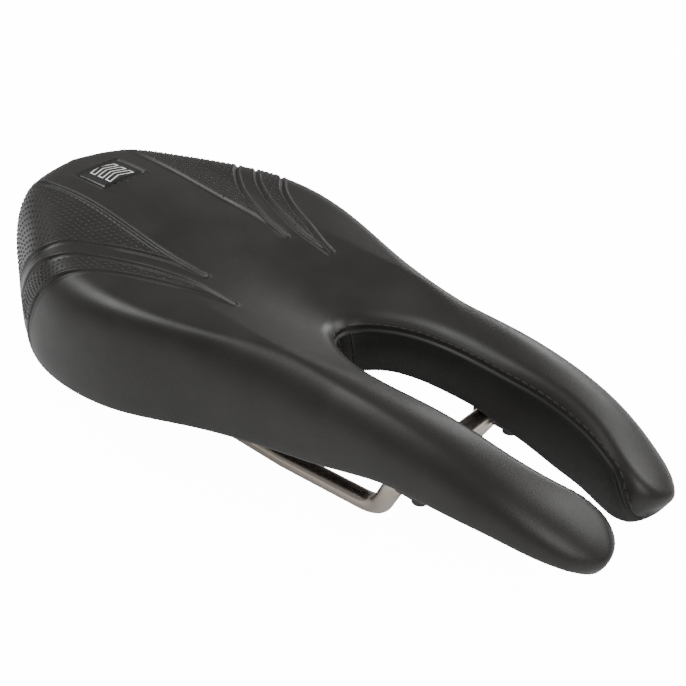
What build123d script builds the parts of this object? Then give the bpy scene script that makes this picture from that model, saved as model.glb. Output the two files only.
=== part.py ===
from build123d import *
import math
import os

# A noseless bicycle saddle: a broad padded rear and two padded prongs with an open slot between them, on a
# loop of 7 mm steel rail. Millimetres. +X runs forward to the prong tips, +Y to the left, +Z up. The origin
# is midway between the two rails, in the middle of their straight clamping stretch, at the rail axis.

# ---- driving dimensions ----
RAIL_RADIUS = 3.5
RAIL_HALF_SPACING = 22.0
LEVEL_HALF_LENGTH = 34.0
REAR_X = -115.6
TIP_X = 160.0

SKIN = 1.4
GAP = 0.05
FOAM_SIDE = 6.0
FOAM_TOP = 14.0
SHELL = 2.5
SHELL_ARM_END = 128.0
HEM_WIDTH = 9.0
HEM_OPEN_X = (-106.0, 41.0)
SLOT_FOAM = 5.0
LEAST_HEIGHT = 1.5

# The padded body at stations along X: half width, underside height, height on the centre line, how much
# higher the ridge 32 mm out is, and the radius that the side rolls over with.
STATIONS = [
    (-115.0, 16.0, 34.0, 46.5, -0.5, 9.0),
    (-112.4, 25.6, 31.0, 57.0, -0.8, 17.0),
    (-105.6, 33.8, 27.5, 63.8, -1.2, 23.0),
    (-93.0, 41.4, 24.0, 66.4, -1.8, 27.0),
    (-75.0, 51.4, 21.6, 66.9, -2.6, 28.5),
    (-56.0, 60.2, 20.4, 65.7, -2.8, 29.0),
    (-35.0, 62.8, 20.0, 62.6, -1.8, 28.0),
    (-10.0, 59.0, 20.8, 58.2, 1.2, 26.5),
    (15.0, 51.4, 22.8, 53.2, 4.9, 24.5),
    (40.0, 45.0, 25.6, 49.0, 7.8, 23.0),
    (70.0, 40.6, 28.6, 47.2, 8.4, 22.0),
    (98.0, 38.8, 30.6, 47.8, 6.6, 20.5),
    (120.0, 36.6, 30.2, 46.4, 3.4, 19.2),
    (138.0, 32.8, 28.2, 42.4, 1.2, 18.0),
    (149.0, 28.4, 26.0, 37.6, 0.2, 15.0),
    (156.0, 23.4, 24.8, 32.4, 0.2, 8.0),
    (159.0, 20.8, 25.0, 28.4, 0.2, 3.0),
]
RIDGE_Y = 32.0
ROLL_POWER = 2.45
ROLL_STEPS = 5
TOP_STEPS = 4

# The open slot: half widths at stations along X, round at its rear end and flared at the tips.
SLOT_REAR_X = 43.6
SLOT_SIDE = [(51.6, 8.2), (63.0, 11.0), (78.0, 12.6), (98.0, 12.3), (120.0, 11.0), (137.0, 9.2), (149.5, 6.6)]
SLOT_FLARE = [(154.5, 8.4), (158.6, 13.4), (160.0, 19.0)]

GUSSET_END = 51.0

BADGE_X = -81.0
BADGE_LENGTH = 17.0
BADGE_WIDTH = 19.0
BADGE_RECESS = 0.6

# The rail's route on one side: rear end in its socket, the two ends of the level stretch, the foot of the
# front leg, and the corner of the crossbar.
RAIL_ROUTE = [
    (-80.0, 26.0, 44.5),
    (-LEVEL_HALF_LENGTH, RAIL_HALF_SPACING, 0.0),
    (LEVEL_HALF_LENGTH, RAIL_HALF_SPACING, 0.0),
    (76.5, 20.5, 1.5),
    (89.6, 27.0, 24.6),
]
RAIL_BENDS = [14.0, 60.0, 12.0, 7.5]

BRIDGE_LOW = (-90.0, -38.0, 36.0)
BRIDGE_HIGH = (-58.0, 38.0, 62.0)
BRIDGE_SCREWS = [(-64.0, 16.0), (-86.0, 16.0)]
CLIP_LOW = (82.8, 20.5, 20.2)
CLIP_HIGH = (99.6, 27.5, 50.0)
CLIP_SCREWS = [(96.2, 24.0)]
FIT_GAP = 0.06
SCREW_RADIUS = 1.5
SCREW_HEAD_RADIUS = 2.8
SCREW_HEAD_HEIGHT = 2.2
SCREW_BITE = 0.8
DRIVE_ACROSS = 2.5
DRIVE_DEPTH = 1.4

INSERT_X = -75.0
INSERT_HALF_SPACING = 9.0
INSERT_LENGTH = 8.0
INSERT_RADIUS = 3.1
INSERT_BORE_RADIUS = 2.0

THREAD_RADIUS = 0.35
STITCH_LENGTH = 2.4
STITCH_PITCH = 3.6
SEAM_OFFSET = 1.2
STITCH_LIFT = 0.85
SEAM_START = 46.0
SEAM_END = 148.0
GUSSET_STITCH_HEIGHTS = [33.0, 37.0, 41.0, 45.0]
STAPLE_SIZE = (8.0, 0.9, 0.5)
STAPLE_PITCH = 21.0
STAPLE_START = -84.0
STAPLE_INSET = 4.5
WIDE = 90.0


# ---- the padded form ----
def along(table, x, column):
    """The value of one column at x, in line between the stations beside it."""
    for low, high in zip(table, table[1:]):
        if x <= high[0]:
            share = (x - low[0]) / (high[0] - low[0])
            return low[column] + max(share, 0.0) * (high[column] - low[column])
    return table[-1][column]


def crown_height(station, y):
    """Height of the top before the sides roll over, dished between the ridges."""
    out = min(abs(y) / RIDGE_Y, 1.8)
    if out < 1:
        return station[3] + station[4] * out**2 * (2 - out)
    return station[3] + station[4] * (1 - 0.6 * (out - 1) ** 2)


def section_points(station, side, top):
    """Points over the top of one cross-section, from the right edge to the left, inset by side and top."""
    half_width, underside, roll = station[1] - side, station[2], max(station[5] - side, 1.0)

    def level(y):
        return max(crown_height(station, y) - top, underside + LEAST_HEIGHT)

    right = []
    for step in range(ROLL_STEPS + 1):
        angle = math.radians(90 * step / ROLL_STEPS)
        y = half_width - roll * (1 - math.cos(angle) ** (2 / ROLL_POWER))
        drop = (level(half_width) - underside) * (1 - math.sin(angle) ** (2 / ROLL_POWER))
        right.append((-y, level(y) - drop))
    for step in range(1, TOP_STEPS):
        y = (half_width - roll) * (1 - step / TOP_STEPS)
        right.append((-y, level(y)))
    left = [(-y, z) for y, z in reversed(right)]
    return right + [(0.0, level(0.0))] + left


def inset_x(x, end_inset):
    """Moves a station's x in, so that an inset form ends short of the outer one at both ends."""
    share = (x - REAR_X) / (TIP_X - REAR_X)
    return x + end_inset * (1 - 2 * share)


def padded_form(side, top, extra_depth=0.0):
    """The padded body without its slot, inset from the outside; extra depth lets it cut through."""
    with BuildPart() as form:
        for station in STATIONS:
            points = section_points(station, side, top)
            left, right = points[-1], points[0]
            lower = [(left[0], left[1] - extra_depth), (right[0], right[1] - extra_depth)]
            corners = [left, *lower, right] if extra_depth else lower
            with BuildSketch(Plane.YZ.offset(inset_x(station[0], side))):
                with BuildLine():
                    Spline(*points)
                    Polyline(*corners)
                make_face()
        loft()
    return form.part


def under_slab(depth, reach):
    """A sheet below the underside, as wide as the form plus reach: the hem, or a cutter."""
    with BuildPart() as slab:
        for station in STATIONS:
            with BuildSketch(Plane.YZ.offset(station[0])):
                with Locations((0, station[2] - depth / 2)):
                    Rectangle(2 * (station[1] + reach), depth)
        loft()
    return slab.part


def slot_column(grow):
    """A tall column with the slot's outline, grown outward, to cut with."""
    side = [(x, y + grow) for x, y in SLOT_SIDE + SLOT_FLARE]
    rear, front = (SLOT_REAR_X - grow, 0), (TIP_X + 20, 0)
    with BuildPart() as column:
        with BuildSketch():
            with BuildLine():
                Spline(rear, *side, tangents=((0, 1), (0.05, 1)))
                Polyline(side[-1], (front[0], side[-1][1]), front, rear)
            make_face()
            mirror(about=Plane.XZ)
        extrude(amount=WIDE)
    return column.part


def box_between(low, high):
    """A box from its lowest to its highest corner, to trim with."""
    size = [end - start for start, end in zip(low, high)]
    with BuildPart() as box:
        with Locations(tuple((end + start) / 2 for start, end in zip(low, high))):
            Box(*size)
    return box.part


def combine(first, cuts=(), keep=()):
    """The first form less each of the cuts, and only what lies inside each of the keeps."""
    with BuildPart() as result:
        add(first)
        for cut in cuts:
            add(cut, mode=Mode.SUBTRACT)
        for space in keep:
            add(space, mode=Mode.INTERSECT)
    return result.part


def side_box(y_sign, x_low, x_high):
    """Everything on one side of the centre plane between two x."""
    low_y, high_y = sorted((0.0, y_sign * WIDE))
    return box_between((x_low, low_y, -WIDE), (x_high, high_y, WIDE))


def crown_at(x, y):
    """Height of the outside top at a place clear of the side roll."""
    station = [along(STATIONS, x, column) for column in range(5)]
    return crown_height(station, y)


def roof_at(x, y):
    """Height of the shell's inner roof."""
    return crown_at(x, y) - FOAM_TOP - SHELL - 2 * GAP


def save(part, name):
    part.label = name
    export_step(part, f"parts/{name}.step")


# ---- the rails ----
def rail_rod(radius):
    """The bent rod: from the left socket, forward, across and back to the right socket."""
    left = RAIL_ROUTE
    right = [(x, -y, z) for x, y, z in reversed(RAIL_ROUTE)]
    with BuildPart() as rod:
        with BuildLine() as route:
            FilletPolyline(*left, *right, radius=RAIL_BENDS + RAIL_BENDS[::-1])
        with BuildSketch(Plane(origin=route.line @ 0, z_dir=route.line % 0)):
            Circle(radius)
        sweep()
    return rod.part


# ---- the padding ----
def badge_window(grow):
    """The column under the recess in the top."""
    half_x, half_y = BADGE_LENGTH / 2 + grow, BADGE_WIDTH / 2 + grow
    return box_between((BADGE_X - half_x, -half_y, 50), (BADGE_X + half_x, half_y, WIDE))


def make_cover_top(under):
    inside = padded_form(SKIN, SKIN, SKIN * 3)
    return combine(padded_form(0, 0), [inside, slot_column(0), badge_window(GAP), under])


def make_badge_plate():
    inside = padded_form(SKIN, SKIN, SKIN * 3)
    return combine(padded_form(BADGE_RECESS, BADGE_RECESS), [inside], [badge_window(0)])


def make_slot_lining(under):
    """The skin of the slot's walls, all round, before it is divided into its panels."""
    return combine(padded_form(SKIN + GAP, SKIN + GAP), [slot_column(0), under], [slot_column(SKIN)])


def shell_space(gap, extra_depth=0.0):
    """The space inside the foam that the shell fills: under the foam, clear of the slot, short of the tips."""
    beyond = box_between((SHELL_ARM_END - gap, -WIDE, -WIDE), (WIDE * 3, WIDE, WIDE))
    form = padded_form(FOAM_SIDE + gap, FOAM_TOP + gap, extra_depth)
    return combine(form, [slot_column(SKIN + SLOT_FOAM + gap), beyond])


def make_foam_pad(under):
    form = padded_form(SKIN + GAP, SKIN + GAP)
    return combine(form, [slot_column(SKIN + GAP), shell_space(0, FOAM_SIDE), under])


def make_base_shell(under):
    hollow = padded_form(FOAM_SIDE + GAP + SHELL, FOAM_TOP + GAP + SHELL, FOAM_SIDE)
    solid = combine(shell_space(GAP), [hollow, under])
    with BuildPart() as base_shell:
        add(solid)
        for x, y in BRIDGE_SCREWS + CLIP_SCREWS:
            with Locations((x, y, roof_at(x, y)), (x, -y, roof_at(x, y))):
                Cylinder(SCREW_RADIUS, 4 * SHELL, mode=Mode.SUBTRACT)
    return base_shell.part


def hem_opening():
    """The column inside the hem, under the hollow of the shell."""
    side = [(s[0], s[1] - HEM_WIDTH) for s in STATIONS if HEM_OPEN_X[0] < s[0] < HEM_OPEN_X[1]]
    rear, front = side[0][0], side[-1][0]
    with BuildPart() as opening:
        with BuildSketch():
            with BuildLine():
                Spline(*side)
                Polyline(side[-1], (front, 0), (rear, 0), side[0])
            make_face()
            mirror(about=Plane.XZ)
        extrude(amount=WIDE)
    return opening.part


def make_cover_hem():
    """The strip turned under the rim: open in the middle, closed under the prongs but for the clips."""
    return combine(under_slab(SKIN, 0), [hem_opening(), slot_column(0), clip_block(1, GAP), clip_block(-1, GAP)])


# ---- what holds the rails ----
def clip_block(y_sign, grow):
    """The box of one front clip, which passes up through the hem into the shell's arm."""
    low_y, high_y = sorted((y_sign * (CLIP_LOW[1] - grow), y_sign * (CLIP_HIGH[1] + grow)))
    low = (CLIP_LOW[0] - grow, low_y, CLIP_LOW[2])
    return box_between(low, (CLIP_HIGH[0] + grow, high_y, CLIP_HIGH[2]))


def under_roof():
    """The hollow of the shell, carried on down, that the bridge and the clips fit up into."""
    return padded_form(FOAM_SIDE + SHELL + 2 * GAP, FOAM_TOP + SHELL + 2 * GAP, WIDE / 3)


def make_front_clip(y_sign, rail_space):
    block = combine(clip_block(y_sign, 0), [rail_space], [under_roof()])
    with BuildPart() as clip:
        add(block)
        for x, y in CLIP_SCREWS:
            with Locations((x, y_sign * y, CLIP_LOW[2])):
                Cylinder(SCREW_RADIUS + FIT_GAP, WIDE, mode=Mode.SUBTRACT)
    return clip.part


def make_rear_bridge(rail_space):
    block = combine(box_between(BRIDGE_LOW, BRIDGE_HIGH), [rail_space], [under_roof()])
    with BuildPart() as rear_bridge:
        add(block)
        for x, y in BRIDGE_SCREWS:
            with Locations((x, y, BRIDGE_LOW[2]), (x, -y, BRIDGE_LOW[2])):
                Cylinder(SCREW_RADIUS + FIT_GAP, WIDE, mode=Mode.SUBTRACT)
        for y in (INSERT_HALF_SPACING, -INSERT_HALF_SPACING):
            with Locations((INSERT_X, y, BRIDGE_LOW[2])):
                Cylinder(INSERT_RADIUS, 2 * INSERT_LENGTH, mode=Mode.SUBTRACT)
    return rear_bridge.part


def make_screws(places, seat):
    """Socket screws pointing up from their seat into the shell's roof, as separate solids."""
    with BuildPart() as screws:
        for x, y in places:
            length = roof_at(x, y) + SCREW_BITE - seat
            for side_y in (y, -y):
                with BuildSketch(Plane.XY.offset(seat)):
                    with Locations((x, side_y)):
                        Circle(SCREW_RADIUS)
                extrude(amount=length)
                with BuildSketch(Plane.XY.offset(seat)):
                    with Locations((x, side_y)):
                        Circle(SCREW_HEAD_RADIUS)
                extrude(amount=-SCREW_HEAD_HEIGHT)
                with BuildSketch(Plane.XY.offset(seat - SCREW_HEAD_HEIGHT)):
                    with Locations((x, side_y)):
                        RegularPolygon(DRIVE_ACROSS / 2, 6, major_radius=False)
                extrude(amount=DRIVE_DEPTH, mode=Mode.SUBTRACT)
    return screws.part


def make_insert(y_sign):
    with BuildPart() as insert:
        with BuildSketch(Plane.XY.offset(BRIDGE_LOW[2])):
            with Locations((INSERT_X, y_sign * INSERT_HALF_SPACING)):
                Circle(INSERT_RADIUS)
                Circle(INSERT_BORE_RADIUS, mode=Mode.SUBTRACT)
        extrude(amount=INSERT_LENGTH)
    return insert.part


# ---- stitches and staples ----
def make_seam_thread(y_sign):
    """Stitches along the top edge of the slot on one side."""
    with BuildPart() as thread:
        count = int((SEAM_END - SEAM_START) / STITCH_PITCH)
        for index in range(count):
            ends = []
            for x in (SEAM_START + index * STITCH_PITCH, SEAM_START + index * STITCH_PITCH + STITCH_LENGTH):
                y = along([(SLOT_REAR_X, 0.0)] + SLOT_SIDE, x, 1) + SEAM_OFFSET
                ends.append(Vector(x, y_sign * y, crown_at(x, y) + STITCH_LIFT))
            with BuildSketch(Plane(origin=ends[0], z_dir=ends[1] - ends[0])):
                Circle(THREAD_RADIUS)
            extrude(amount=(ends[1] - ends[0]).length)
    return thread.part


def make_gusset_thread():
    """Upright stitches on the slot's walls, where the gusset joins the two inner panels."""
    with BuildPart() as thread:
        y = along(SLOT_SIDE, GUSSET_END, 1) - STITCH_LIFT
        for side_y in (y, -y):
            for z in GUSSET_STITCH_HEIGHTS:
                with Locations((GUSSET_END, side_y, z)):
                    Cylinder(THREAD_RADIUS, STITCH_LENGTH)
    return thread.part


def make_cover_staples():
    """Flat staples under the hem, in line with the rim."""
    with BuildPart() as staples:
        count = int((SHELL_ARM_END - STAPLE_START) / STAPLE_PITCH) + 1
        for index in range(count):
            ends = []
            for x in (STAPLE_START + index * STAPLE_PITCH, STAPLE_START + index * STAPLE_PITCH + 1):
                y = along(STATIONS, x, 1) - STAPLE_INSET
                ends.append((x, y, along(STATIONS, x, 2) - SKIN - 2 * STAPLE_SIZE[2]))
            for y_sign in (1, -1):
                start, end = (Vector(x, y_sign * y, z) for x, y, z in ends)
                run = (end - start).normalized()
                up = run.cross(Vector(0, 0, 1).cross(run))
                with Locations(Plane(origin=start, x_dir=run, z_dir=up)):
                    Box(*STAPLE_SIZE)
    return staples.part


def main():
    os.makedirs("parts", exist_ok=True)
    under = under_slab(WIDE, WIDE)
    rail_space = rail_rod(RAIL_RADIUS + FIT_GAP)
    save(rail_rod(RAIL_RADIUS), "rail_loop")
    save(make_cover_top(under), "cover_top")
    save(make_badge_plate(), "badge_plate")
    lining = make_slot_lining(under)
    for y_sign, side in ((1, "left"), (-1, "right")):
        save(combine(lining, keep=[side_box(y_sign, GUSSET_END, WIDE * 2)]), f"inner_panel_{side}")
        save(make_seam_thread(y_sign), f"seam_thread_{side}")
        save(make_front_clip(y_sign, rail_space), f"front_clip_{side}")
        save(make_insert(y_sign), f"carrier_insert_{side}")
    save(combine(lining, keep=[box_between((0, -WIDE, -WIDE), (GUSSET_END, WIDE, WIDE))]), "slot_gusset")
    save(make_gusset_thread(), "gusset_thread")
    save(make_foam_pad(under), "foam_pad")
    save(make_base_shell(under), "base_shell")
    save(make_cover_hem(), "cover_hem")
    save(make_rear_bridge(rail_space), "rear_bridge")
    save(make_screws(BRIDGE_SCREWS, BRIDGE_LOW[2]), "rear_bridge_screws")
    save(make_screws(CLIP_SCREWS, CLIP_LOW[2]), "front_clip_screws")
    save(make_cover_staples(), "cover_staples")


main()
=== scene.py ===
import math
import bmesh
import bpy
import numpy as np
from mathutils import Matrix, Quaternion, Vector
from mathutils.bvhtree import BVHTree
from mathutils.kdtree import KDTree


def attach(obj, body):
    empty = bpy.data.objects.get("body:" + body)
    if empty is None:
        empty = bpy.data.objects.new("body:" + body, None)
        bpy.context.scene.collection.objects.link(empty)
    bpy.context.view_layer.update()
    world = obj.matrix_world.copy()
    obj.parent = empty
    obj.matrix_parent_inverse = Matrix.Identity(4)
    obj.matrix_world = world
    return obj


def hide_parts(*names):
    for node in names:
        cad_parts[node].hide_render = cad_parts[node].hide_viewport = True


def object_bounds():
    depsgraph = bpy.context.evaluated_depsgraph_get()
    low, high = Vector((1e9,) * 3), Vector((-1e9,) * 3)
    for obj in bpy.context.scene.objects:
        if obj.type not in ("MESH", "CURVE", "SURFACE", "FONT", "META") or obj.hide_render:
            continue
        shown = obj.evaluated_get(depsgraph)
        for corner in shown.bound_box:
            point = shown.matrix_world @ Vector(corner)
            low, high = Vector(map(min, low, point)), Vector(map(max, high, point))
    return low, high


# A noseless bicycle saddle: the padded skin, its panels, seams, stitches and embossed lines are built here
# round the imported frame. Lengths in the tables are millimetres in the frame's own axes.

MM = 0.001
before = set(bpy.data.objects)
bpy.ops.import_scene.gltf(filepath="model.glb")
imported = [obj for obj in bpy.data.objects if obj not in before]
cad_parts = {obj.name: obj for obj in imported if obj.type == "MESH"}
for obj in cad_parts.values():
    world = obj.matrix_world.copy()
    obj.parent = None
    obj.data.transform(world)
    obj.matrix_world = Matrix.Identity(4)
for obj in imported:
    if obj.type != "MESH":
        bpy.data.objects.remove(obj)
cad_low, cad_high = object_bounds()

# ---- the saddle's form, in millimetres ----
# The left half in plan: its outer edge and the slot's edge, each from the centre line round to the tip.
TIP_X = 160.2
OUTLINE = [(-115.4, 0), (-114.6, 21), (-92, 41), (-56, 60.4), (-18, 61.2), (20, 50), (52, 43), (98, 38.8),
           (136, 33.6), (153.4, 26.6), (TIP_X, 18.8)]
SLOT = [(43.6, 0), (52, 8.4), (78, 12.8), (97, 12.4), (135, 9.6), (151, 6.2), (157.4, 10.4), (TIP_X, 18.8)]
# Height of the top along the centre line, and how much higher its ridge is, at places along X.
CENTRE_HEIGHT = [(-110, 65.2), (-88, 66.7), (-66, 66.7), (-44, 64.2), (-20, 60.3), (5, 55), (35, 49.2),
                 (70, 47), (100, 47.9), (130, 45), (150, 37.4), (160, 31.5)]
RIDGE_RISE = [(-110, -0.6), (-80, -2.2), (-50, -3), (-20, -0.6), (35, 7.6), (85, 7.6), (125, 1.8),
              (160, -2.6)]
RIDGE_Y = 32.0
# Height of the rim and radius of the side's roll, at shares of the way round from the rear to the tip.
UNDERSIDE = [(0, 34.2), (0.12, 25.6), (0.25, 21.8), (0.4, 20.3), (0.5, 23.2), (0.6, 27), (0.7, 33.6),
             (0.8, 32.6), (0.9, 28.8), (1, 24.6)]
SIDE_ROLL = [(0, 14), (0.15, 30), (0.3, 31), (0.5, 22), (0.75, 21), (1, 16)]
SLOT_ROLL = 8.6
ROLL_POWER = 2.6
# Height of the slot's lower edge, at places along X.
SLOT_FOOT = [(43, 29), (58, 31), (85, 31), (105, 27.4), (125, 22.8), (145, 22), (TIP_X, 24.6)]
# The tip is rounded off lengthwise, rolls at least this much at its sides, and draws back towards the rim.
TIP_ROLL, TIP_WALL, TIP_SPARE = 12.0, 4.5, 0.1
LEAST_ROLL, LEAST_SLOT_ROLL, LEAST_WIDTH = 12.0, 7.5, 0.02
SLOT_PART = ([0.9, 1], [0.3, 0.45])
TIP_TUCK, TIP_TUCK_HEIGHT, TIP_TUCK_REACH = 3.2, 9.0, 9.0
# The seam runs this far round the slot's roll, and comes down to the rim between these stations.
SEAM_ANGLE = 50.0
SEAM_TURN = (0.89, 0.965)
GUSSET_SHARE = 0.155

# ---- the lines pressed into the skin, left half, each from its V's tip back and down to the rim ----
PRESSED = {
    "a": [(-4.8, 19.5, 58), (-18, 20.8, 60), (-36, 20.6, 62), (-60, 19.8, 65), (-82, 20, 66), (-98, 21, 64),
          (-108, 21.5, 58), (-113.5, 22, 48), (-114.5, 22, 36)],
    "b": [(-4.8, 19.5, 58), (-12, 20.8, 59), (-19.5, 22.6, 60), (-33, 27.6, 61), (-40, 30.8, 61),
          (-47, 35.2, 62), (-54, 40.6, 62), (-60, 47.4, 60), (-66, 50.2, 54.6), (-71, 50.8, 47.7),
          (-77, 49, 38), (-80, 47.5, 27)],
    "c": [(14, 23.8, 56.3), (5, 24.6, 57.5), (-5, 26, 58.6), (-15.5, 28.9, 59.4), (-25, 32.2, 60),
          (-34, 36.4, 60.6), (-41.5, 40.8, 61), (-48.6, 46.8, 61.2), (-53, 50.6, 59.5), (-57, 52.6, 56.5),
          (-61, 54.1, 51.6), (-65, 54.8, 44.9), (-70, 54, 36), (-73, 53, 25)],
    "d": [(14, 23.8, 56.3), (6, 26.3, 57.5), (-4, 30.4, 58.6), (-14.5, 34.7, 59.4), (-25, 40, 60.2),
          (-32.5, 45.4, 60.7), (-37, 50, 60.2), (-40.5, 53, 59), (-44, 55.8, 56.4), (-48, 57.8, 52),
          (-52, 59, 46), (-56, 59.4, 39), (-60, 59, 31.6), (-62, 58.5, 24)],
}
BADGE_X, BADGE_HALF_X, BADGE_HALF_Y = -81.0, 8.5, 9.5
BADGE_EDGE = [[(-72.5, 0, 67), (-72.5, 9.5, 66)], [(-72.5, 9.5, 66), (-89.5, 9.5, 66)],
              [(-89.5, 9.5, 66), (-89.5, 0, 67)]]
# How the badge plate rises and falls from its edge inward, and one chevron of its print from its rear end.
BADGE_RIM = ([0, 0.5, 1.0, 1.6], [-0.3, 0.3, 0.3, 0.12])
CHEVRON = [(0, -5.6), (2.6, -5.6), (4.8, 0), (2.6, 5.6), (0, 5.6), (2.2, 0)]
CHEVRON_STARTS = (-5.4, -0.6, 4.2)
CHEVRON_SHIFT = 1.4
GROOVE_DEPTH, GROOVE_HALF = 0.8, 0.6
LIP_HEIGHT, LIP_OFFSET, LIP_HALF = 0.3, 1.25, 0.45
REFINE_REACH = (3.6, 2.6)
SEAM_DEPTH = 0.7
PANEL_SINK, PANEL_LEAN = -0.25, 0.6
HEM_START, HEM_BAND, GATHER = 4.0, 11.0, 0.35
STITCH_ASIDE, STITCH_RISE, STITCH_PITCH, STITCH_LENGTH, STITCH_RADIUS = 1.4, -0.02, 3.0, 2.5, 0.3
DOT_PITCH, DOT_RADIUS, DOT_HEIGHT, DOT_MARGIN, DOT_LOWEST = 2.6, 0.62, 0.34, 1.0, 34.0
# Rows of dots start from a cross-section at one X, and run lengthwise; first and last place, and step.
DOT_SECTION_X, DOT_START_X, DOT_ROW_SHARE = -60.0, -40.0, 0.8
DOT_SECTION_Y, DOT_TRACK_X = (21.5, 60, 0.1), (24, -116, -0.25)
DOT_SIDES = 7
DOT_RINGS = [(1.0, -0.12), (0.8, 0.5), (0.42, 0.88)]
# The dotted fields: the two lines they lie between, and plan corners outside the rim that close them.
DOT_FIELDS = [("a", "b", [(-125, 22), (-125, 60), (-80, 60)]), ("c", "d", [(-80, 62), (-62, 70)])]
PRINT_HALF, PRINT_LIFT, PRINT_STEPS = 0.3, 0.17, 6
# A rod with rounded ends: place along it as a share of its length, and share of its radius.
ROD_PROFILE = [(-0.5, 0.25), (-0.42, 0.75), (-0.25, 1), (0.25, 1), (0.42, 0.75), (0.5, 0.25)]
STAPLE_PITCH, STAPLE_START, STAPLE_LENGTH, STAPLE_RADIUS = 21.0, 8.0, 9.0, 0.4
STAPLE_INSET, STAPLE_DROP = 7.0, 1.75
# Rows of the skin past the rim: how far in, and how far down.
COVER_EDGE = [(0.3, 0.7), (0.9, 1.25), (2.0, 1.5), (4.5, 1.5)]
PANEL_EDGE = [(0.3, 0.5), (0.9, 0.9), (2.0, 1.1), (7.0, 1.1)]
COVER_DROP, PANEL_DROP = 1.5, 1.1
# Where the strip is narrower than this, what is turned under is smaller in proportion.
FULL_WIDTH = 16.0
LINE_STEP = 0.4
GROOVE_REACH = 4.0

HALF_STATIONS, STATION_POWER = 190, 0.95
HEM_ROWS, PANEL_ROWS = 13, 24
HEM_CLOSES_X = (12, 46)
HEM_LIP = (0.3, 1.6)
GATHER_WAVES = (260, 97)
FLAT_ROWS = 30
ROLL_ROWS = 26
SLOT_ROWS = 10


def cubic(knots, values, start=None, end=None):
    """A cubic spline through the values, natural or with given end slopes; returns a function."""
    t = np.array(knots, float)
    y = np.array(values, float).reshape(len(t), -1)
    n = len(t)
    h = np.diff(t)
    a = np.zeros((n, n))
    b = np.zeros_like(y)
    for i in range(1, n - 1):
        a[i, i - 1:i + 2] = h[i - 1], 2 * (h[i - 1] + h[i]), h[i]
        b[i] = 6 * ((y[i + 1] - y[i]) / h[i] - (y[i] - y[i - 1]) / h[i - 1])
    a[0, 0] = a[-1, -1] = 1
    if start is not None:
        a[0, :2] = 2 * h[0], h[0]
        b[0] = 6 * ((y[1] - y[0]) / h[0] - np.array(start, float))
    if end is not None:
        a[-1, -2:] = h[-1], 2 * h[-1]
        b[-1] = 6 * (np.array(end, float) - (y[-1] - y[-2]) / h[-1])
    m = np.linalg.solve(a, b)

    def at(x):
        x = np.atleast_1d(np.asarray(x, float))
        k = np.clip(np.searchsorted(t, x, side="right") - 1, 0, n - 2)
        step = h[k][:, None]
        u = (x - t[k])[:, None]
        w = step - u
        bend = (m[k] * w**3 + m[k + 1] * u**3) / (6 * step)
        line = (y[k] / step - m[k] * step / 6) * w + (y[k + 1] / step - m[k + 1] * step / 6) * u
        found = bend + line
        return found[:, 0] if found.shape[1] == 1 else found
    return at


def steady(knots, values):
    """A smooth curve that never overshoots its values; returns a function."""
    t, y = np.array(knots, float), np.array(values, float)
    h, d = np.diff(t), np.diff(y) / np.diff(t)
    slope = np.zeros_like(y)
    slope[0], slope[-1] = d[0], d[-1]
    for i in range(1, len(t) - 1):
        if d[i - 1] * d[i] > 0:
            low, high = 2 * h[i] + h[i - 1], h[i] + 2 * h[i - 1]
            slope[i] = (low + high) / (low / d[i - 1] + high / d[i])

    def at(x):
        x = np.asarray(x, float)
        k = np.clip(np.searchsorted(t, x, side="right") - 1, 0, len(t) - 2)
        s = (x - t[k]) / h[k]
        near = (1 + 2 * s) * (1 - s)**2 * y[k] + s * (1 - s)**2 * h[k] * slope[k]
        far = s**2 * (3 - 2 * s) * y[k + 1] + s**2 * (s - 1) * h[k] * slope[k + 1]
        return near + far
    return at


def by_length(points, start, end):
    """A closed-form curve through the points, its knots by their share of the length."""
    p = np.array(points, float)
    knots = np.r_[0, np.cumsum(np.hypot(*np.diff(p, axis=0).T))]
    total = knots[-1]
    return knots / total, cubic(knots / total, p, np.array(start) * total, np.array(end) * total)


outline_knots, outline = by_length(OUTLINE, (0, 1), (0, -1))
slot_knots, slot_edge = by_length(SLOT, (0, 1), (0, 1))
STATION_KNOTS = [0, 0.30, 0.5, 0.7, 0.85, 0.94, 1]
outline_share = steady(STATION_KNOTS, [0, *outline_knots[[3, 5, 7, 8, 9]], 1])
round_end = [slot_knots[1] * 0.55, slot_knots[1] + 0.25 * (slot_knots[2] - slot_knots[1])]
slot_share = steady(STATION_KNOTS, [0, *round_end, *slot_knots[[3, 4, 5]], 1])
slot_foot = steady(*zip(*SLOT_FOOT))
centre_height = cubic(*zip(*CENTRE_HEIGHT))
ridge_rise = cubic(*zip(*RIDGE_RISE))
underside = steady(*zip(*UNDERSIDE))
side_roll = steady(*zip(*SIDE_ROLL))


def rolled(distance):
    """How far a roll has dropped at a share of its radius: 1 at the edge, 0 at its end."""
    left = 1 - np.clip(distance, 0, 1)
    return 1 - (1 - left**ROLL_POWER)**(1 / ROLL_POWER)


def top_height(x, y):
    """Height of the top before its edges roll over: dished between the ridges, falling beyond them."""
    shape = np.shape(x)
    x, y = np.ravel(x), np.ravel(y)
    out = np.minimum(np.abs(y) / RIDGE_Y, 1.8)
    dish = np.where(out < 1, out**2 * (2 - out), 1 - 0.6 * (out - 1)**2)
    return (centre_height(x) + ridge_rise(x) * dish).reshape(shape)


def roll_shares(angles):
    """Shares of a roll's radius that space its points evenly round the bend."""
    return 1 - np.cos(np.radians(angles))**(2 / ROLL_POWER)


def tucked(points, share=1.0):
    """The points drawn back at the tip, as far as the rim is when the share is 1."""
    near_tip = np.clip((points[..., 0] - TIP_X + TIP_TUCK_REACH) / TIP_TUCK_REACH, 0, 1)
    moved = np.array(points)
    moved[..., 0] -= TIP_TUCK * share * near_tip
    return moved


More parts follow.
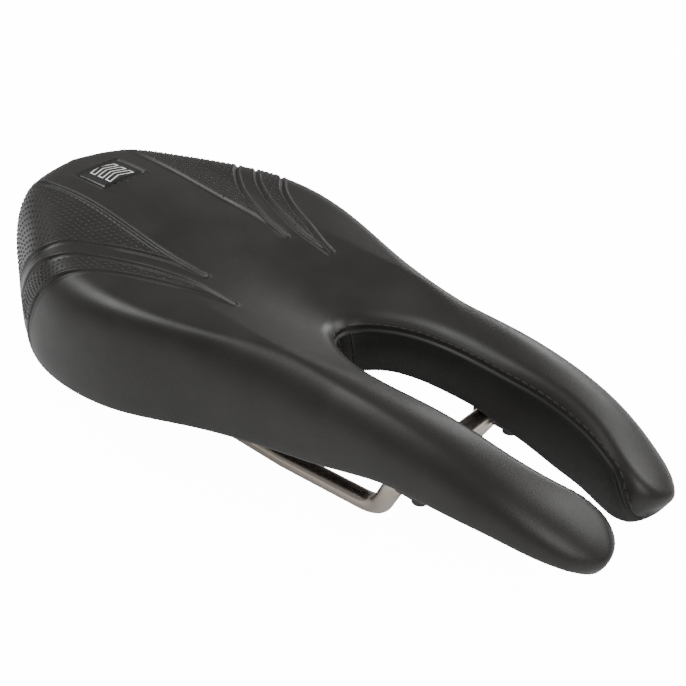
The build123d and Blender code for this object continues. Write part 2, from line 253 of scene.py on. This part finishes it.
class Strip:
    """One half of the padding as a strip: stations run from the centre line round to the tip."""

    def __init__(self, stations):
        self.u = stations
        self.outer = outline(outline_share(stations))
        self.inner = slot_edge(slot_share(stations))
        self.outer[stations == 0, 1] = 0
        self.inner[stations == 0, 1] = 0
        self.width = np.maximum(np.hypot(*(self.outer - self.inner).T), LEAST_WIDTH)
        slot_part = np.interp(stations, *SLOT_PART)
        self.side_band = np.minimum(side_roll(stations), self.width * (1 - slot_part))
        self.slot_band = np.minimum(SLOT_ROLL, self.width * slot_part)
        self.roll = np.maximum(self.side_band, LEAST_ROLL)
        self.slot_roll = np.maximum(self.slot_band, LEAST_SLOT_ROLL)
        self.foot = underside(stations)
        self.slot_foot = slot_foot(np.clip(self.inner[:, 0], SLOT_FOOT[0][0], TIP_X))
        self.room = np.minimum(1.0, self.width / FULL_WIDTH)[:, None]
        self.inward = unit(self.inner - self.outer)

    def place(self, shares):
        """Points at shares (stations, rows) of the way from the slot's edge to the outline."""
        xy = self.inner[:, None] * (1 - shares[..., None]) + self.outer[:, None] * shares[..., None]
        top = top_height(xy[..., 0], xy[..., 1])
        outer_top = top_height(*self.outer.T)[:, None]
        inner_top = top_height(*self.inner.T)[:, None]
        foot = self.foot[:, None]
        slot_foot = self.slot_foot[:, None]
        width = self.width[:, None]
        side_drop = rolled((1 - shares) * width / self.roll[:, None])
        slot_drop = rolled(shares * width / self.slot_roll[:, None]) * (1 - side_drop)
        z = top - (outer_top - foot) * side_drop - (inner_top - slot_foot) * slot_drop
        wall = foot + TIP_WALL
        z = z - np.maximum(z - wall, 0) * rolled((TIP_X + TIP_SPARE - xy[..., 0]) / TIP_ROLL)
        z = np.maximum(z, np.minimum(foot, slot_foot))
        near_foot = np.clip((foot + TIP_TUCK_HEIGHT - z) / TIP_TUCK_HEIGHT, 0, 1)
        return tucked(np.concatenate([xy, z[..., None]], -1), near_foot**2)

    def slot_shares(self, angles):
        """Shares of places at angles round the slot's roll."""
        return roll_shares(angles) * (self.slot_band / self.width)[:, None]

    def seam_angles(self):
        """The seam's place on the slot's roll, which comes down to the rim at the tip."""
        fall = np.clip((self.u - SEAM_TURN[0]) / (SEAM_TURN[1] - SEAM_TURN[0]), 0, 1)
        return (SEAM_ANGLE * (1 - fall**2 * (3 - 2 * fall)))[:, None]

    def seam(self):
        """The points of the seam, as far as the rim."""
        return self.place(self.slot_shares(self.seam_angles()))[self.u <= SEAM_TURN[1], 0]

    def side_shares(self, angles):
        """Shares of places at angles round the side's roll."""
        return 1 - roll_shares(angles)[None] * (self.side_band / self.width)[:, None]

    def cover_shares(self):
        """Rows over the top: down the slot's roll to the seam, flat, and down the side."""
        seam_angles = self.seam_angles()
        steps = np.linspace(0, 1, SLOT_ROWS, endpoint=False)
        slot_rows = self.slot_shares(seam_angles + (90 - seam_angles) * steps)
        side_rows = self.side_shares(np.linspace(90, 0, ROLL_ROWS))
        start = (self.slot_band / self.width)[:, None]
        end = side_rows[:, :1]
        flat = start + (end - start) * np.linspace(0, 1, FLAT_ROWS, endpoint=False)[None]
        shares = np.concatenate([slot_rows, flat, side_rows], 1)
        return np.sort(shares, axis=1)


def unit(v):
    """Vectors of length one in the same directions."""
    return v / np.maximum(np.linalg.norm(v, axis=-1, keepdims=True), 1e-9)


def grid_faces(rows, columns):
    """The quads of a grid of points."""
    index = np.arange(rows * columns).reshape(rows, columns)
    corners = [index[:-1, :-1], index[1:, :-1], index[1:, 1:], index[:-1, 1:]]
    return np.stack(corners, -1).reshape(-1, 4)


def mesh_object(name, points, faces, material, weld=1e-5):
    """A new object from points in millimetres."""
    mesh = bpy.data.meshes.new(name)
    corners = (np.asarray(points).reshape(-1, 3) * MM).tolist()
    mesh.from_pydata(corners, [], [list(map(int, face)) for face in faces])
    if weld:
        work = bmesh.new()
        work.from_mesh(mesh)
        bmesh.ops.remove_doubles(work, verts=work.verts, dist=weld)
        bmesh.ops.recalc_face_normals(work, faces=work.faces)
        work.to_mesh(mesh)
        work.free()
    mesh.polygons.foreach_set("use_smooth", [True] * len(mesh.polygons))
    obj = bpy.data.objects.new(name, mesh)
    bpy.context.scene.collection.objects.link(obj)
    mesh.materials.append(material)
    return obj


def both_halves(points):
    """The points of the left half followed by those of the right."""
    return np.stack([points, points * [1, -1, 1]])


def two_sided(name, points, material):
    """A mirrored pair of grids as one object, welded on the centre line."""
    sides = both_halves(points)
    faces = grid_faces(*points.shape[:2])
    count = points.shape[0] * points.shape[1]
    return mesh_object(name, sides, np.concatenate([faces, faces[:, ::-1] + count]), material)


# ---- materials ----
def new_material(name, colour, roughness):
    """A plain material, with its node tree and its shader to build on."""
    material = bpy.data.materials.new(name)
    material.use_nodes = True
    shader = material.node_tree.nodes["Principled BSDF"]
    shader.inputs["Base Color"].default_value = (*colour, 1)
    shader.inputs["Roughness"].default_value = roughness
    return material, material.node_tree, shader


def node(tree, kind, **values):
    """A new node with some of its inputs or settings given."""
    made = tree.nodes.new(kind)
    for name, value in values.items():
        if name in made.inputs:
            made.inputs[name].default_value = value
        else:
            setattr(made, name, value)
    return made


def position(tree):
    """The object's own coordinates, in metres."""
    return tree.nodes.new("ShaderNodeTexCoord").outputs["Object"]


def mottled(tree, shader, dark, light, scale):
    """Base colour that wanders between two values."""
    noise = node(tree, "ShaderNodeTexNoise", Scale=scale, Detail=5.0)
    tree.links.new(position(tree), noise.inputs["Vector"])
    ramp = tree.nodes.new("ShaderNodeValToRGB")
    for stop, place, colour in zip(ramp.color_ramp.elements, (0.35, 0.65), (dark, light)):
        stop.position = place
        stop.color = (*colour, 1)
    tree.links.new(noise.outputs["Fac"], ramp.inputs["Fac"])
    tree.links.new(ramp.outputs["Color"], shader.inputs["Base Color"])


def leather(name, dark, light, roughness, grain=2600.0, depth=0.00004):
    """Smooth synthetic leather: a fine pebbled grain, and a gloss that varies a little."""
    material, tree, shader = new_material(name, light, roughness)
    mottled(tree, shader, dark, light, 70.0)
    cells = node(tree, "ShaderNodeTexVoronoi", Scale=grain, feature="SMOOTH_F1")
    fine = node(tree, "ShaderNodeTexNoise", Scale=grain * 0.45, Detail=4.0)
    where = position(tree)
    tree.links.new(where, cells.inputs["Vector"])
    tree.links.new(where, fine.inputs["Vector"])
    mix = node(tree, "ShaderNodeMath", operation="ADD")
    tree.links.new(cells.outputs["Distance"], mix.inputs[0])
    tree.links.new(fine.outputs["Fac"], mix.inputs[1])
    bump = node(tree, "ShaderNodeBump", Strength=0.5, Distance=depth)
    tree.links.new(mix.outputs[0], bump.inputs["Height"])
    tree.links.new(bump.outputs["Normal"], shader.inputs["Normal"])
    gloss = node(tree, "ShaderNodeMapRange")
    gloss.inputs["From Min"].default_value, gloss.inputs["From Max"].default_value = 0.3, 0.7
    gloss.inputs["To Min"].default_value = roughness - 0.05
    gloss.inputs["To Max"].default_value = roughness + 0.06
    patches = node(tree, "ShaderNodeTexNoise", Scale=38.0, Detail=3.0)
    tree.links.new(where, patches.inputs["Vector"])
    tree.links.new(patches.outputs["Fac"], gloss.inputs["Value"])
    tree.links.new(gloss.outputs["Result"], shader.inputs["Roughness"])
    shader.inputs["Specular IOR Level"].default_value = 0.35
    return material


def metal(name, colour, roughness, brushed=900.0):
    """Drawn metal: fine marks along the wire."""
    material, tree, shader = new_material(name, colour, roughness)
    shader.inputs["Metallic"].default_value = 1.0
    stretch = node(tree, "ShaderNodeMapping")
    stretch.inputs["Scale"].default_value = (0.06, 1, 1)
    noise = node(tree, "ShaderNodeTexNoise", Scale=brushed, Detail=3.0)
    tree.links.new(position(tree), stretch.inputs["Vector"])
    tree.links.new(stretch.outputs["Vector"], noise.inputs["Vector"])
    bump = node(tree, "ShaderNodeBump", Strength=0.12, Distance=0.00005)
    tree.links.new(noise.outputs["Fac"], bump.inputs["Height"])
    tree.links.new(bump.outputs["Normal"], shader.inputs["Normal"])
    return material


def moulded(name, dark, light, roughness):
    """Moulded plastic: faintly uneven colour and a fine spark-eroded texture."""
    material, tree, shader = new_material(name, light, roughness)
    mottled(tree, shader, dark, light, 60.0)
    noise = node(tree, "ShaderNodeTexNoise", Scale=1800.0, Detail=3.0)
    tree.links.new(position(tree), noise.inputs["Vector"])
    bump = node(tree, "ShaderNodeBump", Strength=0.3, Distance=0.00005)
    tree.links.new(noise.outputs["Fac"], bump.inputs["Height"])
    tree.links.new(bump.outputs["Normal"], shader.inputs["Normal"])
    return material


COVER = leather("cover_leather", (0.0108, 0.0099, 0.0088), (0.0146, 0.0134, 0.0119), 0.42)
HEM = leather("hem_leather", (0.012, 0.0112, 0.0102), (0.016, 0.015, 0.0137), 0.55)
PANEL = leather("panel_leather", (0.006, 0.0056, 0.005), (0.0085, 0.008, 0.0072), 0.52)
THREAD = moulded("thread", (0.011, 0.01, 0.009), (0.02, 0.018, 0.016), 0.6)
BADGE = moulded("badge", (0.004, 0.004, 0.0042), (0.006, 0.006, 0.0063), 0.3)
PRINT = moulded("pale_print", (0.62, 0.62, 0.6), (0.72, 0.72, 0.7), 0.4)
NYLON = moulded("shell_nylon", (0.010, 0.010, 0.0105), (0.016, 0.016, 0.0168), 0.5)
# The rail's colour is darker than bare steel: partly the steel's own tint, partly a painted dark reflection
# standing in for dark surroundings.
RAIL = metal("rail_steel", (0.42, 0.37, 0.32), 0.26)
STEEL = metal("screw_steel", (0.5, 0.5, 0.5), 0.3)
# The screws' steel is made near black so the screw heads under the clips catch no light: painted shade.
DARKENED_SCREW_STEEL = metal("screw_steel_painted_shade", (0.05, 0.05, 0.05), 0.4)
BRASS = metal("insert_brass", (0.62, 0.45, 0.2), 0.3)
CAD_LOOKS = {"base_shell": NYLON, "rear_bridge": NYLON, "front_clip_left": NYLON, "front_clip_right": NYLON,
             "rail_loop": RAIL, "rear_bridge_screws": DARKENED_SCREW_STEEL, "front_clip_screws": DARKENED_SCREW_STEEL,
             "carrier_insert_left": BRASS, "carrier_insert_right": BRASS}


def dress_cad():
    """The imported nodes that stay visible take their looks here; their shapes are left alone."""
    for name, material in CAD_LOOKS.items():
        for slot in bpy.data.objects[name].material_slots:
            slot.material = material


dress_cad()

# ---- the pieces ----
stations = np.linspace(0, 1, HALF_STATIONS)**STATION_POWER
half = Strip(stations)


def on_cover(tree, points):
    """The nearest places on the skin to points in millimetres, with the skin's normals there."""
    found = [tree.find_nearest(Vector(p))[:2] for p in points]
    return np.array([f[0] for f in found]), np.array([f[1] for f in found])


def smooth_line(points, step):
    """Points every step along a spline through a few given ones."""
    p = np.array(points, float)
    knots = np.r_[0, np.cumsum(np.linalg.norm(np.diff(p, axis=0), axis=1))]
    along = np.linspace(0, knots[-1], max(int(knots[-1] / step), 2) + 1)
    return cubic(knots, p)(along)


def near_tree(points):
    """A tree that finds the nearest of some points."""
    tree = KDTree(len(points))
    for index, point in enumerate(points):
        tree.insert(Vector(point), index)
    tree.balance()
    return tree


def refine(stations, shares, faces, targets):
    """Splits the quads near the pressed lines; each new vertex gets its own place on the form."""
    work = bmesh.new()
    at_u = work.verts.layers.float.new("u")
    at_s = work.verts.layers.float.new("s")
    verts = [work.verts.new((index, 0, 0)) for index in range(len(stations))]
    for vert, u, s in zip(verts, stations, shares):
        vert[at_u], vert[at_s] = u, s
    for face in faces:
        work.faces.new([verts[i] for i in face])

    def settle():
        u = np.array([v[at_u] for v in work.verts])
        s = np.array([v[at_s] for v in work.verts])
        for vert, place in zip(work.verts, Strip(u).place(s[:, None])[:, 0]):
            vert.co = place

    settle()
    for reach in REFINE_REACH:
        edges = set()
        for face in work.faces:
            if targets.find(face.calc_center_median())[2] < reach:
                edges.update(face.edges)
        bmesh.ops.subdivide_edges(work, edges=list(edges), cuts=1, use_grid_fill=True)
        settle()
    work.normal_update()
    return work


def groove(distance):
    """Height of the skin beside a pressed line: a dark channel between two lips."""
    channel = -GROOVE_DEPTH * np.exp(-(distance / GROOVE_HALF)**2)
    return channel + LIP_HEIGHT * np.exp(-((distance - LIP_OFFSET) / LIP_HALF)**2)


def make_cover():
    """The skin over the top and sides, turned under at the rim."""
    shares = half.cover_shares()
    grid = half.place(shares)
    faces = grid_faces(*shares.shape)
    tree = BVHTree.FromPolygons(grid.reshape(-1, 3).tolist(), faces.tolist())
    lines = {name: on_cover(tree, smooth_line(points, LINE_STEP))[0] for name, points in PRESSED.items()}
    badge = [on_cover(tree, smooth_line(points, LINE_STEP))[0] for points in BADGE_EDGE]
    targets = near_tree(np.concatenate(list(lines.values()) + badge))
    seam = near_tree(half.seam())
    work = refine(np.repeat(stations, shares.shape[1]), shares.ravel(), faces, targets)
    for vert in work.verts:
        distance, aside = targets.find(vert.co)[2], seam.find(vert.co)[2]
        if min(distance, aside) < GROOVE_REACH:
            vert.co = vert.co + vert.normal * float(groove(distance) + SEAM_DEPTH * groove(aside))
    work.verts.index_update()
    points = np.array([vert.co[:] for vert in work.verts])
    points[np.abs(points[:, 1]) < 0.01, 1] = 0
    skin = [[vert.index for vert in face.verts] for face in work.faces]
    work.free()

    rows = [np.c_[half.outer, half.foot]]
    for depth, drop in COVER_EDGE:
        rows.append(np.c_[half.outer + half.inward * depth * half.room, half.foot - drop * half.room[:, 0]])
    turned = tucked(np.stack(rows, 1))
    turned[0, :, 1] = 0
    skin += (grid_faces(*turned.shape[:2]) + len(points)).tolist()
    points = np.concatenate([points, turned.reshape(-1, 3)])
    count = len(points)
    skin += [[i + count for i in face[::-1]] for face in skin]
    cover = mesh_object("saddle_cover", both_halves(points), skin, COVER)
    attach(cover, "root")
    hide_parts("cover_top", "foam_pad")
    return tree, lines


def make_panels():
    """The darker lining of the slot: a panel along each prong and a gusset round the rear end."""
    seam = near_tree(half.seam())
    gusset_end = int(np.searchsorted(stations, GUSSET_SHARE))
    panel_nodes = ["inner_panel_left", "inner_panel_right"]
    for name, keep, nodes in (("slot_gusset_skin", slice(0, gusset_end + 1), ["slot_gusset"]),
                              ("inner_panels", slice(gusset_end, None), panel_nodes)):
        part = Strip(stations[keep])
        points = part.place(part.slot_shares(part.seam_angles() * np.linspace(1, 0, PANEL_ROWS)))
        outward = -part.inward
        lean = np.c_[outward, np.full(len(outward), PANEL_LEAN)][:, None]
        away = np.array([[seam.find(Vector(p))[2] for p in row] for row in points])
        sink = SEAM_DEPTH * groove(away) + PANEL_SINK * np.clip(away / 1.5, 0, 1)
        points = points + unit(lean * [-1, -1, 1]) * sink[..., None]
        rows = [np.c_[part.inner + outward * depth * part.room, part.slot_foot - drop * part.room[:, 0]]
                for depth, drop in PANEL_EDGE]
        points = np.concatenate([points, tucked(np.stack(rows, 1))], 1)
        if keep.start == 0:
            points[0, :, 1] = 0
        panel = two_sided(name, points, PANEL)
        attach(panel, "root")
        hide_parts(*nodes)


def make_hem():
    """The skin's turned-under margin: a gathered band at the rear, the whole underside of each prong."""
    reach = np.interp(half.outer[:, 0], HEM_CLOSES_X, [0, 1])
    room = half.room[:, 0]
    band = np.minimum(HEM_BAND, half.width * 0.5)
    end = band + (half.width - HEM_START * room - band) * reach
    rows = []
    for share in np.linspace(0, 1, HEM_ROWS):
        depth = HEM_START * room + (end - HEM_START * room) * share
        across = depth / half.width
        outer_level, inner_level = half.foot - COVER_DROP * room, half.slot_foot - PANEL_DROP * room
        level = outer_level * (1 - across) + inner_level * across
        waves = np.sin(half.u * GATHER_WAVES[0]) * (0.6 + 0.4 * np.sin(half.u * GATHER_WAVES[1]))
        gathers = GATHER * share * (1 - reach) * waves
        rows.append(np.c_[half.outer + half.inward * depth[:, None], level + gathers])
    last = rows[-1]
    rows.append(last + np.c_[half.inward * HEM_LIP[0], HEM_LIP[1] * (1 - reach)])
    points = tucked(np.stack(rows, 1))
    points[0, :, 1] = 0
    hem = two_sided("hem", points, HEM)
    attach(hem, "root")
    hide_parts("cover_hem")


def ring(centre, across, up, radius, sides):
    """Points evenly round a circle."""
    turns = [2 * math.pi * side / sides for side in range(sides)]
    return [centre + (across * math.cos(turn) + up * math.sin(turn)) * radius for turn in turns]


def ring_faces(base, rings, sides):
    """The quads between rings of points that follow one another from a base index."""
    faces = []
    for low in range(base, base + (rings - 1) * sides, sides):
        for side in range(sides):
            ahead = (side + 1) % sides
            faces.append([low + side, low + ahead, low + sides + ahead, low + sides + side])
    return faces


def capsules(name, centres, directions, normals, length, radius, material, sides=8):
    """Short rods with rounded ends, one at each centre, as one object."""
    points, faces = [], []
    for centre, along, normal in zip(centres, unit(directions), unit(normals)):
        across = unit(np.cross(along, normal))
        up = np.cross(across, along)
        base = len(points)
        for place, size in ROD_PROFILE:
            points += ring(centre + along * place * length, across, up, radius * size, sides)
        faces += ring_faces(base, len(ROD_PROFILE), sides)
        faces.append([base + side for side in range(sides)][::-1])
        faces.append([base + (len(ROD_PROFILE) - 1) * sides + side for side in range(sides)])
    return mesh_object(name, points, faces, material, weld=0)


def evenly(points, pitch, start=0.0):
    """Places every pitch along a line of points, with its directions there."""
    steps = np.r_[0, np.cumsum(np.linalg.norm(np.diff(points, axis=0), axis=1))]
    at = np.arange(start, steps[-1] - pitch / 2, pitch)
    place = np.stack([np.interp(at, steps, points[:, k]) for k in range(3)], 1)
    ahead = np.stack([np.interp(at + 0.5, steps, points[:, k]) for k in range(3)], 1)
    return place, ahead - place


def make_stitches():
    """Thread along the slot's seam, and down the two joints of the gusset."""
    seam = half.seam()[1:-1]
    joint_station = Strip(stations[int(np.searchsorted(stations, GUSSET_SHARE))][None])
    joint = joint_station.place(joint_station.slot_shares(np.linspace(SEAM_ANGLE - 6, 4, 30)[None]))[0]
    outward = np.r_[-joint_station.inward[0], 0]
    for name, line, node_names in (("seam_stitches", seam, ["seam_thread_left", "seam_thread_right"]),
                                   ("gusset_stitches", joint, ["gusset_thread"])):
        places, directions = evenly(line, STITCH_PITCH, 1.0)
        normals = np.tile(-outward, (len(places), 1))
        if line is seam:
            aside = unit(np.cross(on_cover(skin_tree, places)[1], directions))
            places, normals = on_cover(skin_tree, places + aside * STITCH_ASIDE)
        places = places + unit(normals) * STITCH_RISE
        flip = [1, -1, 1]
        made = capsules(name, np.r_[places, places * flip], np.r_[directions, directions * flip],
                        np.r_[normals, normals * flip], STITCH_LENGTH, STITCH_RADIUS, THREAD)
        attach(made, "root")
        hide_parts(*node_names)


def make_staples():
    """Wire staples through the hem, a little in from the rim."""
    depth = np.minimum(STAPLE_INSET, half.width * 0.35)
    level = half.foot - STAPLE_DROP + (half.slot_foot - half.foot) * depth / half.width
    line = np.c_[half.outer + half.inward * depth[:, None], level][4:-14]
    places, directions = evenly(line, STAPLE_PITCH, STAPLE_START)
    normals = np.tile([0.0, 0, -1], (len(places), 1))
    flip = [1, -1, 1]
    made = capsules("hem_staples", np.r_[places, places * flip], np.r_[directions, directions * flip],
                    np.r_[normals, normals], STAPLE_LENGTH, STAPLE_RADIUS, STEEL)
    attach(made, "root")
    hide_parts("cover_staples")


def inside(polygon, x, y):
    """Whether places lie in a plan outline."""
    found = np.zeros(np.shape(x), bool)
    for (x0, y0), (x1, y1) in zip(polygon, np.roll(polygon, -1, axis=0)):
        crosses = (y0 > y) != (y1 > y)
        with np.errstate(divide="ignore", invalid="ignore"):
            found ^= crosses & (x < (x1 - x0) * (y - y0) / (y1 - y0) + x0)
    return found


def drop_on_cover(x, y):
    """The skin's height over a place in plan, and its normal there."""
    hit = skin_tree.ray_cast(Vector((x, y, 200)), Vector((0, 0, -1)))
    return hit[0], hit[1]


def make_dots():
    """Raised dots in staggered rows between the first and second, and the third and fourth, lines."""
    fields = []
    for first, second, corner in DOT_FIELDS:
        fields.append(np.r_[lines[first][:, :2], corner, lines[second][::-1, :2]])
    targets = near_tree(np.concatenate(list(lines.values())))
    section = np.arange(*DOT_SECTION_Y)
    heights = [drop_on_cover(DOT_SECTION_X, y)[0] for y in section]
    keep = [k for k, hit in enumerate(heights) if hit is not None]
    profile = np.array([heights[k][:] for k in keep])
    length = np.r_[0, np.cumsum(np.linalg.norm(np.diff(profile, axis=0), axis=1))]
    rows = np.interp(np.arange(0, length[-1], DOT_PITCH * DOT_ROW_SHARE), length, profile[:, 1])
    places, normals = [], []
    for count, y in enumerate(rows):
        hits = [drop_on_cover(x, y) for x in np.arange(*DOT_TRACK_X)]
        track = np.array([h[0][:] for h in hits if h[0] is not None])
        tilt = np.array([h[1][:] for h in hits if h[0] is not None])
        steps = np.r_[0, np.cumsum(np.linalg.norm(np.diff(track, axis=0), axis=1))]
        zero = np.interp(-DOT_START_X, -track[:, 0], steps) + (DOT_PITCH / 2 if count % 2 else 0)
        at = np.arange(zero % DOT_PITCH, steps[-1], DOT_PITCH)
        place = np.stack([np.interp(at, steps, track[:, k]) for k in range(3)], 1)
        lean = np.stack([np.interp(at, steps, tilt[:, k]) for k in range(3)], 1)
        held = np.zeros(len(at), bool)
        for field in fields:
            held |= inside(field, place[:, 0], place[:, 1])
        held &= place[:, 2] > DOT_LOWEST
        held &= np.array([targets.find(Vector(p))[2] > DOT_MARGIN for p in place])
        places.append(place[held])
        normals.append(unit(lean[held]))
    places, normals = np.concatenate(places), np.concatenate(normals)
    points, faces = [], []
    for mirror in (1, -1):
        for place, normal in zip(places * [1, mirror, 1], normals * [1, mirror, 1]):
            side = unit(np.cross(normal, [0.0, 1, 0.01]))
            other = np.cross(normal, side)
            base = len(points)
            for size, height in DOT_RINGS:
                middle = place + normal * DOT_HEIGHT * height
                points += ring(middle, side, other, DOT_RADIUS * size, DOT_SIDES)
            faces += ring_faces(base, len(DOT_RINGS), DOT_SIDES)
            last, crown = len(points) - DOT_SIDES, len(points)
            points.append(place + normal * DOT_HEIGHT)
            faces += [[last + k, last + (k + 1) % DOT_SIDES, crown] for k in range(DOT_SIDES)]
    dots = mesh_object("grip_dots", points, faces, COVER, weld=1e-7)
    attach(dots, "root")


def make_badge():
    """A dark plate let into the rear of the skin, with pale outlined chevrons on it."""
    def over(x, y):
        return drop_on_cover(x, abs(y))[0][2]
    xs = np.linspace(BADGE_X - BADGE_HALF_X, BADGE_X + BADGE_HALF_X, 24)
    ys = np.linspace(-BADGE_HALF_Y, BADGE_HALF_Y, 26)
    points = np.array([[(x, y, over(x, y)) for y in ys] for x in xs])
    edge = np.minimum(BADGE_HALF_X - np.abs(points[..., 0] - BADGE_X), BADGE_HALF_Y - np.abs(points[..., 1]))
    points[..., 2] += np.interp(edge, *BADGE_RIM)
    plate = mesh_object("badge", points, grid_faces(*points.shape[:2]), BADGE)
    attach(plate, "root")
    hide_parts("badge_plate")
    outline_points, faces = [], []
    for start in CHEVRON_STARTS:
        shape = np.array([(BADGE_X + CHEVRON_SHIFT - start - x, y) for x, y in CHEVRON])
        ahead, behind = np.roll(shape, -1, 0) - shape, shape - np.roll(shape, 1, 0)
        side_a = unit(np.c_[ahead[:, 1], -ahead[:, 0]])
        side_b = unit(np.c_[behind[:, 1], -behind[:, 0]])
        miter = (side_a + side_b) / np.maximum((1 + (side_a * side_b).sum(1)), 0.3)[:, None]
        base, total = len(outline_points), len(shape) * PRINT_STEPS
        for k in range(len(shape)):
            n = (k + 1) % len(shape)
            for share in np.arange(PRINT_STEPS) / PRINT_STEPS:
                centre = shape[k] * (1 - share) + shape[n] * share
                offset = (miter[k] * (1 - share) + miter[n] * share) * PRINT_HALF
                for x, y in (centre - offset, centre + offset):
                    outline_points.append((x, y, over(x, y) + PRINT_LIFT))
        for k in range(total):
            n = (k + 1) % total
            faces.append([base + 2 * k, base + 2 * k + 1, base + 2 * n + 1, base + 2 * n])
    print_marks = mesh_object("badge_print", outline_points, faces, PRINT, weld=1e-7)
    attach(print_marks, "root")


skin_tree, lines = make_cover()
make_panels()
make_hem()
make_stitches()
make_staples()
make_dots()
make_badge()


# ---- camera, floor and light ----
CAMERA_TARGET = Vector((45, -3.55, 44.4)) * MM
CAMERA_DISTANCE = 379.3 * MM
CAMERA_AZIMUTH, CAMERA_ELEVATION, CAMERA_ROLL = 42.8, 33.35, -0.4
CAMERA_LENS = 59.28
# How strongly the floor glows on the saddle, and in the picture, where it is to read as plain white.
FLOOR_FILL, FLOOR_SEEN = 0.15, 14.0
FLOOR_SIZE, FLOOR_GAP = 8, 0.0002
SKY_STRENGTH = 0.4
# Each lamp's name, place, aim, size (metres) and power (watts).
LAMPS = [
    ("left", (-0.6, -0.36, 0.85), (-0.05, 0, 0.04), (0.6, 0.5), 8),
    ("back", (-0.1, 0.95, 0.5), (0.06, 0, 0.04), (0.6, 0.3), 5),
    ("right", (0.55, 0.55, 0.7), (0.1, 0, 0.04), (0.6, 0.5), 6),
    ("front", (0.9, -0.5, 0.7), (0.05, 0, 0.03), (0.5, 0.5), 5),
]


def make_camera():
    azimuth, elevation = math.radians(CAMERA_AZIMUTH), math.radians(CAMERA_ELEVATION)
    level = Vector((-math.sin(azimuth), math.cos(azimuth), 0))
    forward = level * math.cos(elevation) - Vector((0, 0, math.sin(elevation)))
    data = bpy.data.cameras.new("camera")
    data.lens = CAMERA_LENS
    data.clip_start = 0.01
    camera = bpy.data.objects.new("camera", data)
    camera.location = CAMERA_TARGET - forward * CAMERA_DISTANCE
    turn = forward.to_track_quat("-Z", "Y") @ Quaternion((0, 0, 1), math.radians(CAMERA_ROLL))
    camera.rotation_euler = turn.to_euler()
    bpy.context.scene.collection.objects.link(camera)
    bpy.context.scene.camera = camera


def area_light(name, place, aim, size, power):
    data = bpy.data.lights.new(name, "AREA")
    data.shape = "RECTANGLE"
    data.size, data.size_y = size
    data.energy = power
    lamp = bpy.data.objects.new(name, data)
    lamp.location = place
    lamp.rotation_euler = (Vector(aim) - Vector(place)).to_track_quat("-Z", "Y").to_euler()
    bpy.context.scene.collection.objects.link(lamp)


def make_studio():
    """A white floor under the rails, a dim even sky, and four soft lamps."""
    bpy.ops.mesh.primitive_plane_add(size=FLOOR_SIZE, location=(0, 0, cad_low[2] - FLOOR_GAP))
    floor = bpy.context.object
    floor.name = "floor"
    material, tree, shader = new_material("floor", (0.9, 0.9, 0.9), 0.9)
    shader.inputs["Specular IOR Level"].default_value = 0.1
    shader.inputs["Emission Color"].default_value = (1, 1, 1, 1)
    seen = node(tree, "ShaderNodeMapRange")
    seen.inputs["To Min"].default_value, seen.inputs["To Max"].default_value = FLOOR_FILL, FLOOR_SEEN
    rays = tree.nodes.new("ShaderNodeLightPath")
    tree.links.new(rays.outputs["Is Camera Ray"], seen.inputs["Value"])
    tree.links.new(seen.outputs["Result"], shader.inputs["Emission Strength"])
    floor.data.materials.append(material)
    world = bpy.data.worlds.new("studio")
    world.use_nodes = True
    world.node_tree.nodes["Background"].inputs["Color"].default_value = (1, 1, 1, 1)
    world.node_tree.nodes["Background"].inputs["Strength"].default_value = SKY_STRENGTH
    bpy.context.scene.world = world
    for name, place, aim, size, power in LAMPS:
        area_light(name, place, aim, size, power)


make_camera()
make_studio()
